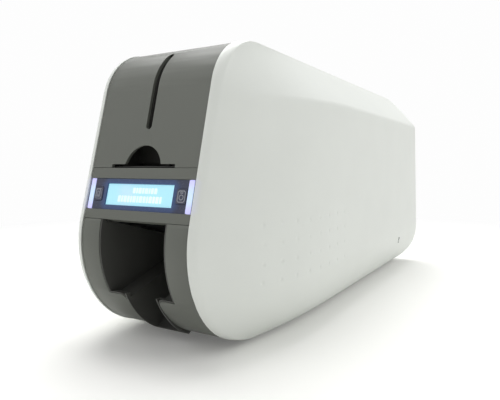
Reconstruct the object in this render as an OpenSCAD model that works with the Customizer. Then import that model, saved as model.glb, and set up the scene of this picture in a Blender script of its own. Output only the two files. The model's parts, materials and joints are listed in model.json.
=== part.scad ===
// Desktop card printer with a dark centre band between two white side shells.
// Front faces -Y, +X is the right hand side seen from the front, +Z is up.
// Inside the modules y counts back from the front-most point; at_origin() centres the body.

/* [Body] */
// Overall width over the side shells
body_w = 176; // [171:1:184]
// Overall length, front to back
body_l = 465; // [455:1:480]
// Overall height over the feet
body_h = 220; // [216:1:226]
// Width of the dark centre band
band_w = 95; // [93:0.5:97]
// Height of the rubber feet under the band
foot_h = 4; // [3.5:0.1:5]
// Wall of the mouldings
wall = 2.5; // [2:0.1:2.8]
// How far the white shells stand proud of the band
proud = 0.5; // [0.3:0.1:0.7]

/* [Side profile] */
// Lean of the front face from the vertical, degrees
lean = 15; // [13:0.5:17]
// Radius of the lower front corner
chin_r = 71.5; // [66:0.5:74]
// Radius of the upper front corner
brow_r = 45.5; // [40:0.5:48]
// Lean of the rear face, degrees
rake = 6; // [4:0.5:8]
// Radius of the upper rear corner
rump_r = 25.5; // [22:0.5:28]
// Radius of the lower rear corner
heel_r = 20.5; // [16:0.5:22]

/* [Side shells] */
// Width of the bright front rim of each shell
rim_w = 6.7; // [5:0.1:8]
// How far back the outer edge of the rim lies
rim_d = 4; // [3:0.1:5]
// Length over which the side swells to full width
flare_l = 150; // [120:5:180]
// Height of the shoulder crease
crease_z = 183; // [176:1:188]
// How much the crease drops towards the front
crease_drop = 5; // [2:0.5:8]
// How much narrower each side is at the crease than at the belly
draft = 1.5; // [0.5:0.1:3]
// Height where the rounded belly begins
belly_z = 50; // [45:1:54]
// Depth of the arc that rolls the belly in
belly_w = 50; // [42:1:52]
// Radius of the rear upright edges
edge_r = 6; // [4:1:12]

/* [Front] */
// Height of the seam above the control panel
upper_seam_z = 130.3; // [129:0.1:131]
// Height of the seam below the control panel
lower_seam_z = 94.3; // [94.2:0.1:96]
// Half width of the card output recess
recess_hw = 30; // [29:0.5:31]
// Height of the lips at the foot of the recess
lip_z = 40.5; // [38:0.5:43]
// Half width of the finger opening between the lips
finger_hw = 15; // [13:0.5:17]
// Rounding of the lips
lip_r = 5; // [3:0.5:7]
// Width of the card level slit
slit_w = 5.2; // [4:0.2:6]
// Length of the card entry slot
slot_w = 57; // [56:0.5:60]
// Height of the card entry slot
slot_h = 2.2; // [1.8:0.1:2.6]
// Width of the thumb notch
notch_w = 33; // [28:1:38]
// Height of the thumb notch
notch_h = 15; // [12:1:18]

/* [Control panel] */
// Visible display size, width
lcd_w = 60; // [56:1:62]
// Visible display size, height
lcd_h = 15; // [13:0.5:17]
// Height of the recessed panel, along the slope
window_h = 22.4; // [20:0.2:24]
// Depth of the recess in front of the panel
window_d = 0.8; // [0.5:0.1:1.2]
// Depth of the display behind the panel
lcd_d = 0.9; // [0.6:0.1:1.4]
// Width of each light bar
bar_w = 4.2; // [3.6:0.1:5]
// Strip of panel outside each light bar
bar_edge = 0.8; // [0.5:0.1:1]
// Width of each push button
button_w = 8; // [7:0.2:9]
// Height of each push button
button_h = 10; // [8:0.2:12]
// Travel of the push buttons
button_travel = 1; // [0.6:0.1:1.2]

/* [Card path] */
// Width of a card
card_w = 54; // [53.5:0.1:54.5]
// Length of a card
card_l = 85.6; // [85:0.1:86]
// Height of the card path
path_z = 131; // [130:0.5:131]
// Radius of the driven rollers
roller_r = 7; // [6:0.5:7.5]
// Radius of the platen roller
platen_r = 8; // [7:0.5:8.5]
// Radius of the cleaning roller
cleaner_r = 6; // [5:0.5:6.5]
// Radius of the roller shafts
shaft_r = 3; // [2.5:0.1:3.5]
// Distance of the card stack behind the front
stack_y = 41.5; // [41:0.5:43]

/* [Frame and covers] */
// Half distance between the inner faces of the side frames
frame_hw = 40; // [39:0.5:40.5]
// Sheet thickness of the side frames
sheet = 1.5; // [1.2:0.1:1.6]
// Distance of the hopper cover hinge behind the card hopper
hopper_hinge_back = 6; // [5.5:0.5:8]
// Distance of the top cover hinge in front of the rear-most point
cover_hinge_back = 51; // [50.5:0.5:53]
// Depth of both hinge axes below the roof
hinge_h = 6; // [5.8:0.1:6.2]
// Radius of the hinge pins
pin_r = 1.25; // [1:0.05:1.4]

/* [Mechanism] */
// Distance of the feed roller in front of the far end of a card in the hopper
feed_back = 12.1; // [11:0.1:14]
// Distance from the feed roller to the entry roller
entry_gap = 35; // [34:0.5:36]
// Length of card that still lies on one roller when the next takes it
card_grip = 10.6; // [9.6:0.2:11]
// Gear module
gear_m = 1; // [0.94:0.02:1]
// Width of the gears
gear_w = 5; // [4:0.5:5.5]
// Radius of the ribbon on the supply spool
supply_r = 15; // [12:0.5:16]
// Radius of the ribbon on the take-up spool
takeup_r = 10; // [9:0.5:14]
// Height of the ribbon spools
spool_z = 172; // [171:0.5:174]

/* [Clearances] */
// Gap between the band and the side shells
seam = 0.3; // [0.2:0.05:0.4]
// Gap between seated mouldings
fit = 0.3; // [0.2:0.05:0.4]
// Radial clearance of a running shaft
run = 0.05; // [0.03:0.01:0.08]

/* [Hidden] */
$fn = 64;

// Colours
white_shell = [0.86, 0.87, 0.86];
band_grey = [0.38, 0.39, 0.39];
black_plastic = [0.07, 0.07, 0.07];
sheet_steel = [0.72, 0.73, 0.75];
roller_rubber = [0.13, 0.13, 0.14];
gear_white = [0.9, 0.89, 0.84];

// Side profile: y counts back from the front, z up from the floor
half_band = band_w / 2 - seam;
shell_x = band_w / 2 + seam;
front_n = [-cos(lean), sin(lean)];
front_in = -front_n;
chin_c = [chin_r, foot_h + chin_r];
front_k = chin_c * front_n + chin_r;
brow_z = body_h - brow_r;
brow_c = [(brow_z * sin(lean) - front_k + brow_r) / cos(lean), brow_z];
rear_n = [cos(rake), sin(rake)];
heel_c = [body_l - heel_r, foot_h + heel_r];
rear_k = heel_c * rear_n + heel_r;
rump_z = body_h - rump_r;
rump_c = [(rear_k - rump_r - rump_z * sin(rake)) / cos(rake), rump_z];
function front_y(z, i = 0) = (z * sin(lean) - front_k + i) / cos(lean);
function rear_y(z, i = 0) = (rear_k - i - z * sin(rake)) / cos(rake);

// Seams and depths of the band
skin_in = proud + wall;
// How far the flats lie under the tangents of the corner arcs, so that the two cross cleanly
bite = 0.004;
lining = 1;
cover_flange = 9;
bezel_end_y = 95;
base_end_y = body_l - 25;
hinge_z = body_h - proud - hinge_h;
cover_gap = hinge_h + 0.4;
knuckle_r = hinge_h - 1;
ear_r = hinge_h - wall - fit;
pan_top_z = foot_h + skin_in + bite;
frame_top_z = body_h - 23;
frame_inset = 14;
frame_x = frame_hw + sheet;

// Control panel, measured along the slope and inwards
panel_h = (upper_seam_z - lower_seam_z) / cos(lean) - fit;
strip_low = 6.8;
floor_i = proud + 4.5;
floor_t = 2;
panel_i = 12;
window_hw = half_band - fit;
bar_x = half_band - bar_edge - bar_w / 2;
button_x = 37.4;
button_gap = 0.25;
flange_t = 1;
button_back = floor_i + floor_t + fit;
tab_i = button_back + flange_t + button_travel + fit;
board_t = 1.6;

// Card path and mechanism
stack_hw = card_w / 2 + 0.6;
stack_l = card_l + 1.4;
cassette_end_y = stack_y + stack_l + wall;
hopper_hinge_y = cassette_end_y + hopper_hinge_back;
cover_hinge_y = body_l - cover_hinge_back;
roller_pitch = card_l - card_grip;
feed_y = stack_y + card_l - feed_back;
entry_y = feed_y + entry_gap;
platen_y = entry_y + roller_pitch;
exit_y = platen_y + roller_pitch;
flip_y = exit_y + roller_pitch;
deck_t = 3;
deck_hw = stack_hw + 3.4;
deck_end_y = flip_y - 49;
roller_hw = 28;
platen_z = path_z - platen_r;
roller_z = path_z - roller_r;
nip = 0.3;
gear_x = frame_x + 1.5;
roller_teeth = 24;
idler_teeth = floor(roller_pitch / gear_m + 0.01) - roller_teeth;
feed_idler_teeth = 16;
reduction_teeth = 30;
pinion_teeth = 12;
flipper_teeth = 48;
function pitch_r(teeth) = gear_m * teeth / 2;
reduction_z = platen_z - pitch_r(roller_teeth + reduction_teeth);
motor_z = reduction_z - pitch_r(reduction_teeth + pinion_teeth);
feed_idler_arm = pitch_r(roller_teeth + feed_idler_teeth) + 0.02;
feed_idler_y = (feed_y + entry_y) / 2;
feed_idler_z = roller_z - sqrt(pow(feed_idler_arm, 2) - pow((entry_y - feed_y) / 2, 2));
cleaner_z = path_z + nip + cleaner_r;
pinch_r = 5;
pinch_z = path_z + nip + pinch_r;
supply_y = platen_y - 55;
takeup_y = platen_y + 43;
film_z = path_z + 0.35;
film_t = 0.3;
guide_bar_r = 2;
saddle_y = [supply_y - 6, takeup_y + 18];
saddle_z = 143.5;
rod_r = 3;
flip_roller_y = 24;
flip_roller_r = 6;
flip_pinion_z = path_z - pitch_r(flipper_teeth + pinion_teeth);

// Places a piece drawn from the front-most point into the frame centred on the body
module at_origin() translate([0, -body_l / 2, 0]) children();

// A shape in the (y, z) plane, extruded across the body from x0 to x1
module side_slab(x0, x1) translate([x0, 0, 0]) rotate([90, 0, 90]) linear_extrude(x1 - x0) children();

// A shape seen from the front (x, z), extruded back from y0 to y1
module front_slab(y0, y1) translate([0, y1, 0]) rotate([90, 0, 0]) linear_extrude(y1 - y0) children();

// The same piece on both sides
module both_sides() {
    children();
    mirror([1, 0, 0]) children();
}

// A round bar across the body
module cross_bar(y, z, r, x0, x1) translate([x0, y, z]) rotate([0, 90, 0]) cylinder(r = r, h = x1 - x0);

// On the sloping front: x across, y up the slope, z outwards, from the height z of the surface
module front_plane(z) translate([0, front_y(z), z]) rotate([90 - lean, 0, 0]) children();

// On the rear face: x across, y down the face, z outwards
module rear_plane(z) translate([0, rear_y(z), z]) rotate([rake - 90, 0, 0]) children();

module rounded_rect(w, h, r) {
    square([w - 2 * r, h], center = true);
    square([w, h - 2 * r], center = true);
    for (x = [-1, 1], y = [-1, 1]) translate([x * (w / 2 - r), y * (h / 2 - r)]) circle(r = r);
}

// Outline of the body from the side, moved inwards by i, with true corner arcs
module side_outline(i = 0) {
    translate(chin_c) circle(r = chin_r - i);
    translate(brow_c) circle(r = brow_r - i);
    translate(rump_c) circle(r = rump_r - i);
    translate(heel_c) circle(r = heel_r - i);
    polygon([
        [chin_c.x, foot_h + i + bite],
        chin_c + (chin_r - i - bite) * front_n,
        brow_c + (brow_r - i - bite) * front_n,
        [brow_c.x, body_h - i - bite],
        [rump_c.x, body_h - i - bite],
        rump_c + (rump_r - i - bite) * rear_n,
        heel_c + (heel_r - i - bite) * rear_n,
        [heel_c.x, foot_h + i + bite]
    ]);
}

module outline_skin(i0, i1) difference() {
    side_outline(i0);
    side_outline(i1);
}

// Half planes above and below a seam that cuts the front square to its surface
module above_front(z) polygon([
    [front_y(z), z] - 20 * front_in, [front_y(z), z] + 200 * front_in, [300, 300], [-60, 300]
]);
module below_front(z) polygon([
    [front_y(z), z] - 20 * front_in, [front_y(z), z] + 130 * front_in, [130, -20], [-60, -20]
]);

// Side shells: the surface swells from the rim by a share of the distance behind the front,
// rolls in at the belly and slopes up from the crease to the roof
swell = body_w / 2 - shell_x - rim_w;
flare_steps = [0, 0.035, 0.085, 0.15, 0.23, 0.32, 0.42, 0.53, 0.66, 0.82, 1];
edge_steps = [1, 0.6, 0.3, 0.1, 0];
function arc_reach(r, dz) = sqrt(max(0, r * r - dz * dz));
function arc_front(z, i) =
    z < chin_c.y + (chin_r - i) * front_n.y ? chin_c.x - arc_reach(chin_r - i, z - chin_c.y) :
    z > brow_c.y + (brow_r - i) * front_n.y ? brow_c.x - arc_reach(brow_r - i, z - brow_c.y) :
    front_y(z, i);
function arc_rear(z, i) =
    z < heel_c.y + (heel_r - i) * rear_n.y ? heel_c.x + arc_reach(heel_r - i, z - heel_c.y) :
    z > rump_c.y + (rump_r - i) * rear_n.y ? rump_c.x + arc_reach(rump_r - i, z - rump_c.y) :
    rear_y(z, i);
function flare_share(t) = 1 - pow(1 - min(1, t), 3);
function height_share(z) =
    z > crease_z ? (1 - draft / swell) * (body_h - z) / (body_h - crease_z) :
    z > belly_z ? 1 - draft / swell * (z - belly_z) / (crease_z - belly_z) :
    1 - belly_w / swell * (1 - sqrt(1 - pow((belly_z - z) / (belly_z + belly_drop), 2)));

// How far below the floor the belly arc ends
belly_drop = 3;
// Share of the wall by which the inner face is drawn in, for its slanted stretches
skin_slant = 1.15;
// Corner of the rim, as shares of its width and depth
rim_corner = [0.55, 0.35];

// Row heights: arcs at the belly and brow, even steps between
shell_rows = concat(
    [for (k = [0 : 7]) foot_h + (belly_z - foot_h) * (1 - cos(k * 90 / 8))],
    [for (k = [0 : 9]) belly_z + (crease_z - belly_z) * k / 10],
    [for (k = [0 : 8]) body_h - (body_h - crease_z) * (1 - sin(k * 90 / 8))]
);
shell_cols = len(flare_steps) + len(edge_steps);
shell_n = len(shell_rows);
function flare_t(c) = c < len(flare_steps) ? flare_steps[c] : 1;
// Rows near the crease follow it down towards the front
function near_crease(z) =
    z > crease_z ? (body_h - z) / (body_h - crease_z) : max(0, (z - belly_z) / (crease_z - belly_z));
function row_z(c, j) = shell_rows[j] - crease_drop * (1 - flare_t(c)) * near_crease(shell_rows[j]);
function shell_row(c, j, i) =
    foot_h + i + (row_z(c, j) - foot_h) * (body_h - foot_h - 2 * i) / (body_h - foot_h);
function shell_y(c, z, i, shift) = c < len(flare_steps) ?
    arc_front(z, i) + shift + flare_l * flare_steps[c] :
    arc_rear(z, i) - edge_r * edge_steps[c - len(flare_steps)];
function edge_share(c) =
    c < len(flare_steps) ? 0 : 1 - sqrt(1 - pow(1 - edge_steps[c - len(flare_steps)], 2));
function swell_x(c, j) = shell_x + rim_w
    + flare_share(flare_t(c)) * height_share(shell_rows[j]) * (swell - edge_r * edge_share(c));
function skin_point(c, j, i) = let (z = shell_row(c, j, i))
    [swell_x(c, j) - skin_slant * i, shell_y(c, z, i, rim_d), z];
function rim_point(c, j, i, x, shift) = let (z = shell_row(c, j, i)) [x, shell_y(c, z, i, shift), z];

// The way round the edge of the grid of points, as [column, row]
shell_edge = concat(
    [for (j = [0 : shell_n - 1]) [0, j]],
    [for (c = [1 : shell_cols - 1]) [c, shell_n - 1]],
    [for (j = [shell_n - 2 : -1 : 0]) [shell_cols - 1, j]],
    [for (c = [shell_cols - 2 : -1 : 1]) [c, 0]]
);
module side_shell() {
    n = shell_n;
    m = len(shell_edge);
    grid = n * shell_cols;
    outer = [for (c = [0 : shell_cols - 1], j = [0 : n - 1]) skin_point(c, j, 0)];
    inner = [for (c = [0 : shell_cols - 1], j = [0 : n - 1]) skin_point(c, j, wall)];
    rims = [
        for (e = shell_edge) rim_point(e.x, e.y, 0, shell_x + rim_corner.x * rim_w, rim_corner.y * rim_d),
        for (e = shell_edge) rim_point(e.x, e.y, 0, shell_x, 0),
        for (e = shell_edge) rim_point(e.x, e.y, wall, shell_x, 0)
    ];
    function at(e) = e.x * n + e.y;
    // Loops from the outer grid over the rim to the inner grid
    loops = [
        [for (e = shell_edge) at(e)],
        [for (k = [0 : m - 1]) 2 * grid + k],
        [for (k = [0 : m - 1]) 2 * grid + m + k],
        [for (k = [0 : m - 1]) 2 * grid + 2 * m + k],
        [for (e = shell_edge) grid + at(e)]
    ];
    cells = [
        for (c = [0 : shell_cols - 2], j = [0 : n - 2])
            [c * n + j, c * n + j + 1, (c + 1) * n + j + 1, (c + 1) * n + j]
    ];
    polyhedron(concat(outer, inner, rims), concat(
        [for (q = cells) [q[0], q[1], q[2]]],
        [for (q = cells) [q[0], q[2], q[3]]],
        [for (q = cells) [grid + q[2], grid + q[1], grid + q[0]]],
        [for (q = cells) [grid + q[3], grid + q[2], grid + q[0]]],
        [for (l = [0 : 3], k = [0 : m - 1]) [loops[l][k], loops[l + 1][k], loops[l + 1][(k + 1) % m]]],
        [for (l = [0 : 3], k = [0 : m - 1]) [loops[l][k], loops[l + 1][(k + 1) % m], loops[l][(k + 1) % m]]]
    ), convexity = 6);
}
module right_side_shell() color(white_shell) at_origin() side_shell();
module left_side_shell() color(white_shell) at_origin() mirror([1, 0, 0]) side_shell();

// Lower front: the card output recess with two rounded lips and a finger opening between them.
// The same outline drawn in by g shapes the lining of the bin
module recess_shape(g) difference() {
    union() {
        translate([-recess_hw + g, lip_z + g]) square([2 * (recess_hw - g), lower_seam_z]);
        translate([-finger_hw - lip_r, -1]) square([2 * (finger_hw + lip_r), lip_z + g + 1]);
    }
    for (side = [-1, 1]) translate([side * (finger_hw + lip_r), 0]) {
        translate([0, lip_z - lip_r]) circle(r = lip_r + g);
        translate([-lip_r - g, -2]) square([2 * (lip_r + g), lip_z - lip_r + 2]);
    }
}
module front_bezel() color(band_grey) at_origin() difference() {
    both_sides() side_slab(0, half_band) intersection() {
        outline_skin(proud, skin_in);
        below_front(lower_seam_z);
        square([bezel_end_y, body_h]);
    }
    front_slab(-1, scoop_end_y) recess_shape(0);
}

// Bin behind the recess: a sloping floor for the cards, a deeper scoop for the fingers,
// and a thin lining that covers the cut edges of the bezel
bin_hw = recess_hw - fit - lining;
scoop_hw = finger_hw - fit - lining;
strip_z = lip_z + fit + lining;
strip_y = 14;
bin_floor = [[strip_y, lip_z - 2], [88, 61]];
bin_top_z = 92;
scoop_c = [22, 52];
scoop_r = 47;
scoop_end_y = 62;
tongue_shift = [2, -3.5];
lining_back = 0.3;
module bin_section(t) polygon([
    [-5, strip_z - t], [strip_y - t, strip_z - t], bin_floor[0] - [t, t], bin_floor[1] + [t, -t],
    [bin_floor[1].x + t, bin_top_z], [-5, bin_top_z]
]);
module scoop_section(t) intersection() {
    translate(scoop_c) circle(r = scoop_r + t);
    polygon([[-5, 0], [75, 0], [75, 62], bin_floor[0], [strip_y, strip_z], [-5, strip_z]]);
}
module output_bin() color(black_plastic) at_origin() difference() {
    union() {
        intersection() {
            union() {
                side_slab(-bin_hw - wall, bin_hw + wall) bin_section(wall);
                side_slab(-scoop_hw - wall, scoop_hw + wall) scoop_section(wall);
                both_sides() translate([bin_hw, 64, 77]) cube([frame_hw - bin_hw, 12, 6]);
            }
            side_slab(-frame_hw, frame_hw) intersection() {
                side_outline(skin_in + fit);
                below_front(lower_seam_z);
            }
        }
        // Lining of the recess and over the lips
        intersection() {
            front_slab(-1, 40) difference() {
                recess_shape(fit);
                recess_shape(fit + lining);
            }
            side_slab(-recess_hw, recess_hw) intersection() {
                outline_skin(proud + lining_back, skin_in + fit + lining);
                below_front(lower_seam_z);
                translate([-5, lip_z - lip_r]) square([60, body_h]);
            }
        }
        // The scoop runs out through the finger opening
        side_slab(-scoop_hw - lining, scoop_hw + lining) intersection() {
            scoop_section(wall);
            translate(tongue_shift) side_outline(proud);
            square([scoop_end_y - fit, strip_z]);
        }
    }
    side_slab(-bin_hw, bin_hw) bin_section(0);
    side_slab(-scoop_hw, scoop_hw) scoop_section(0);
    // Gate where a finished card slides in from the chute
    translate([-stack_hw - 1, bin_floor[1].x - 1, bin_top_z - 13]) cube([2 * stack_hw + 2, wall + 2, 14]);
}

// Control panel: a grey frame with a recessed band for the display and the light bars
module along_front() translate([front_y(lower_seam_z), lower_seam_z]) rotate(-lean) children();
module panel_section() along_front() translate([0, fit]) difference() {
    translate([proud, 0]) square([panel_i - proud, panel_h - fit]);
    translate([proud - 1, strip_low]) square([floor_i - proud + 1, window_h]);
    translate([floor_i + floor_t, floor_t]) square([panel_i, panel_h - fit - 2 * floor_t]);
    translate([skin_in, floor_t]) square([floor_i, strip_low - 2 * floor_t]);
    translate([skin_in, strip_low + window_h + floor_t])
        square([floor_i, panel_h - 2 * fit - strip_low - window_h - 2 * floor_t]);
}
panel_mid = strip_low + window_h / 2 + fit;
module on_panel() front_plane(lower_seam_z) translate([0, panel_mid, 0]) children();
module button_shape(gap) rounded_rect(button_w + 2 * gap, button_h + 2 * gap, 1.2 + gap);
tab_t = 2;
tab_l = 19;
module control_panel() color(band_grey) at_origin() {
    difference() {
        side_slab(-half_band, half_band) panel_section();
        on_panel() for (side = [-1, 1]) translate([side * button_x, 0, -floor_i - floor_t - 1])
            linear_extrude(floor_t + 2) button_shape(button_gap);
    }
    // Tabs that hang the panel on the side frames
    both_sides() side_slab(frame_x, frame_x + tab_t) along_front()
        translate([tab_i, 2 * fit]) square([tab_l, panel_h - 3 * fit]);
}
module display_window() color([0.06, 0.09, 0.26]) at_origin() on_panel() translate([0, 0, -floor_i])
    linear_extrude(floor_i - proud - window_d) difference() {
        square([2 * window_hw, window_h - 0.4], center = true);
        square([lcd_w + 0.4, lcd_h + 0.4], center = true);
        for (side = [-1, 1]) {
            translate([side * button_x, 0]) button_shape(button_gap);
            translate([side * bar_x, 0]) square([bar_w + 0.2, window_h], center = true);
        }
    }
module lcd_screen() color([0.55, 0.82, 0.93]) at_origin() on_panel() translate([0, 0, -floor_i])
    linear_extrude(floor_i - proud - window_d - lcd_d) square([lcd_w, lcd_h], center = true);
module light_bar() at_origin() on_panel() translate([bar_x, 0, -floor_i])
    linear_extrude(floor_i - proud - 0.5) rounded_rect(bar_w, window_h - 0.4, 0.8);
module right_light_bar() color([0.75, 0.78, 1]) light_bar();
module left_light_bar() color([0.75, 0.78, 1]) mirror([1, 0, 0]) light_bar();
module push_button() at_origin() on_panel() translate([button_x, 0, 0]) {
    translate([0, 0, -button_back]) linear_extrude(button_back - proud - window_d + 0.4) button_shape(0);
    translate([0, 0, -button_back - flange_t]) linear_extrude(flange_t) button_shape(1.4);
}
module right_button() color([0.10, 0.13, 0.32]) push_button();
module left_button() color([0.10, 0.13, 0.32]) mirror([1, 0, 0]) push_button();
module panel_board() color([0.05, 0.35, 0.18]) at_origin() on_panel() {
    translate([0, (panel_h - fit) / 2 + fit - panel_mid, -panel_i + 1])
        linear_extrude(board_t) square([2 * (frame_x - fit), panel_h - fit - 2 * floor_t], center = true);
    // Switches behind the buttons
    for (side = [-1, 1]) translate([side * button_x, 0, -panel_i + 1])
        cylinder(r = 1.8, h = panel_i - 1 - button_back - flange_t - button_travel - 0.1);
}

// Hinged cover over the card hopper, with the level slit, thumb notch and card slot
module hinge_lip(y) translate([y, hinge_z]) intersection() {
    difference() {
        circle(r = hinge_h);
        circle(r = hinge_h - wall);
    }
    polygon([[0, 0], [0, 9], [9, 9], [9, 9 * tan(30)]]);
}
module knuckles(y) both_sides() cross_bar(y, hinge_z, knuckle_r, frame_hw - 8, frame_hw - fit);
notch_r = (notch_w * notch_w / 4 + notch_h * notch_h) / (2 * notch_h);
slit_z = [159, 210];
module hopper_cover() color(band_grey) at_origin() difference() {
    union() {
        side_slab(-half_band, half_band) {
            intersection() {
                outline_skin(proud, skin_in);
                above_front(upper_seam_z);
                square([hopper_hinge_y, body_h]);
            }
            hinge_lip(hopper_hinge_y);
        }
        both_sides() side_slab(half_band - wall, half_band) intersection() {
            outline_skin(proud, proud + cover_flange);
            above_front(upper_seam_z);
            square([hopper_hinge_y - 4, body_h]);
        }
        knuckles(hopper_hinge_y);
    }
    front_slab(-5, 60) {
        for (z = slit_z) translate([0, z]) circle(r = slit_w / 2);
        translate([-slit_w / 2, slit_z[0]]) square([slit_w, slit_z[1] - slit_z[0]]);
    }
    front_slab(-5, 30) {
        translate([0, upper_seam_z + notch_h - notch_r]) circle(r = notch_r);
        translate([-slot_w / 2, upper_seam_z - 5]) square([slot_w, slot_h + 5]);
    }
    cross_bar(hopper_hinge_y, hinge_z, pin_r + run, -frame_hw, frame_hw);
}
module hinge_pin(y) color(sheet_steel) at_origin() {
    cross_bar(y, hinge_z, pin_r, -frame_x - 1, frame_x + 1);
    both_sides() cross_bar(y, hinge_z, pin_r + 0.8, frame_x, frame_x + 1);
}
module hopper_hinge_pin() hinge_pin(hopper_hinge_y);
module cover_hinge_pin() hinge_pin(cover_hinge_y);

// Long top cover over the printing works, hinged at the rear
cover_front_y = hopper_hinge_y + cover_gap;
cover_ribs = [cover_front_y + 12, platen_y - 40, platen_y + 42, exit_y, flip_y - 25, flip_y + 15];
module top_cover() color(band_grey) at_origin() difference() {
    union() {
        side_slab(-half_band, half_band) {
            intersection() {
                outline_skin(proud, skin_in);
                translate([cover_front_y, body_h / 2]) square([cover_hinge_y - cover_front_y, body_h]);
            }
            hinge_lip(cover_hinge_y);
        }
        both_sides() side_slab(half_band - wall, half_band) intersection() {
            outline_skin(proud, proud + cover_flange);
            translate([cover_front_y, body_h / 2]) square([cover_hinge_y - 4 - cover_front_y, body_h]);
        }
        for (y = cover_ribs) side_slab(-half_band + 1, half_band - 1)
            translate([y, body_h - proud - cover_flange + 2]) square([1.6, cover_flange - 3]);
        knuckles(cover_hinge_y);
    }
    cross_bar(cover_hinge_y, hinge_z, pin_r + run, -frame_hw, frame_hw);
}

// Rear cover with air slots and the openings for the sockets and the power switch
port_z = 46;
switch_size = [20, 13];
usb_size = [12, 11];
net_size = [16, 14];
dc_r = 5.5;
port_x = [-27, -6, 12, 31];
vent_rows = 7;
module rear_ports() rear_plane(port_z) translate([0, 0, -5]) linear_extrude(10) {
    translate([port_x[0], 0]) square(switch_size + [0.6, 0.6], center = true);
    translate([port_x[1], 0]) circle(r = dc_r + 0.3);
    translate([port_x[2], 0]) square(usb_size + [0.6, 0.6], center = true);
    translate([port_x[3], 0]) square(net_size + [0.6, 0.6], center = true);
}
module rear_cover() color(band_grey) at_origin() difference() {
    union() {
        side_slab(-half_band, half_band) intersection() {
            outline_skin(proud, skin_in);
            polygon([
                [cover_hinge_y + cover_gap, body_h], [body_l + 5, body_h], [body_l + 5, 0],
                [base_end_y, 0], [base_end_y, 60], [cover_hinge_y + cover_gap, 60]
            ]);
        }
        // Frame that carries the rocker
        switch_plane() difference() {
            translate([0, 0, rocker_d / 2 - 5])
                cube([switch_size.x + 2 * wall, switch_size.y + 2 * wall, rocker_d + 8], center = true);
            cube([switch_size.x + 0.6, switch_size.y + 0.6, 40], center = true);
        }
    }
    rear_ports();
    switch_plane() rotate([0, 90, 0]) cylinder(r = 1 + run, h = switch_size.x + wall + 0.4, center = true);
    for (k = [0 : vent_rows - 1]) rear_plane(90 + 9 * k) translate([0, 0, -5]) linear_extrude(10) {
        square([56, 3], center = true);
        for (side = [-1, 1]) translate([side * 28, 0]) circle(r = 1.5);
    }
}
// Rocker that tips about a pin across its frame
rocker_d = 4.5;
rocker_tilt = 8;
module switch_plane() rear_plane(port_z) translate([port_x[0], 0, -proud - rocker_d]) children();
module power_switch() color(black_plastic) at_origin() switch_plane() {
    rotate([90, 0, 90]) linear_extrude(switch_size.x, center = true) rotate(rocker_tilt)
        polygon([[-5.2, -3], [5.2, -3], [5.6, 5.4], [0, 4.2], [-5.6, 5.4]]);
    rotate([0, 90, 0]) cylinder(r = 1, h = switch_size.x + wall, center = true);
}
module port_box(size, depth, hole) difference() {
    translate([0, 0, -depth]) linear_extrude(depth - proud - 0.4) square(size, center = true);
    translate([0, 0, -depth + 1.5]) linear_extrude(depth) square(hole, center = true);
}
module dc_inlet() color(black_plastic) at_origin() rear_plane(port_z) translate([port_x[1], 0, 0]) {
    difference() {
        translate([0, 0, -14]) cylinder(r = dc_r, h = 13.2);
        translate([0, 0, -12]) cylinder(r = 3.2, h = 14);
    }
    translate([0, 0, -12]) cylinder(r = 1, h = 9);
}
module usb_port() color(sheet_steel) at_origin() rear_plane(port_z) translate([port_x[2], 0, 0])
    port_box(usb_size, 16, [8.6, 7.9]);
module network_port() color(sheet_steel) at_origin() rear_plane(port_z) translate([port_x[3], 0, 0])
    port_box(net_size, 18, [11.8, 8.4]);

// Base pan between the shells, with flanges that carry them
module base_pan() color(black_plastic) at_origin() {
    side_slab(-half_band, half_band) intersection() {
        outline_skin(proud, skin_in);
        translate([bezel_end_y + fit, 0]) square([base_end_y - bezel_end_y - 2 * fit, 30]);
    }
    both_sides() translate([half_band - 3, bezel_end_y + 8, foot_h + wall + fit])
        cube([11, base_end_y - bezel_end_y - 16, wall]);
}
module rubber_feet() color([0.12, 0.12, 0.12]) at_origin() both_sides()
    for (y = [bezel_end_y + 17, base_end_y - 15]) translate([36, y, 0]) {
        cylinder(r = 8, h = foot_h + proud + bite);
    }

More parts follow.
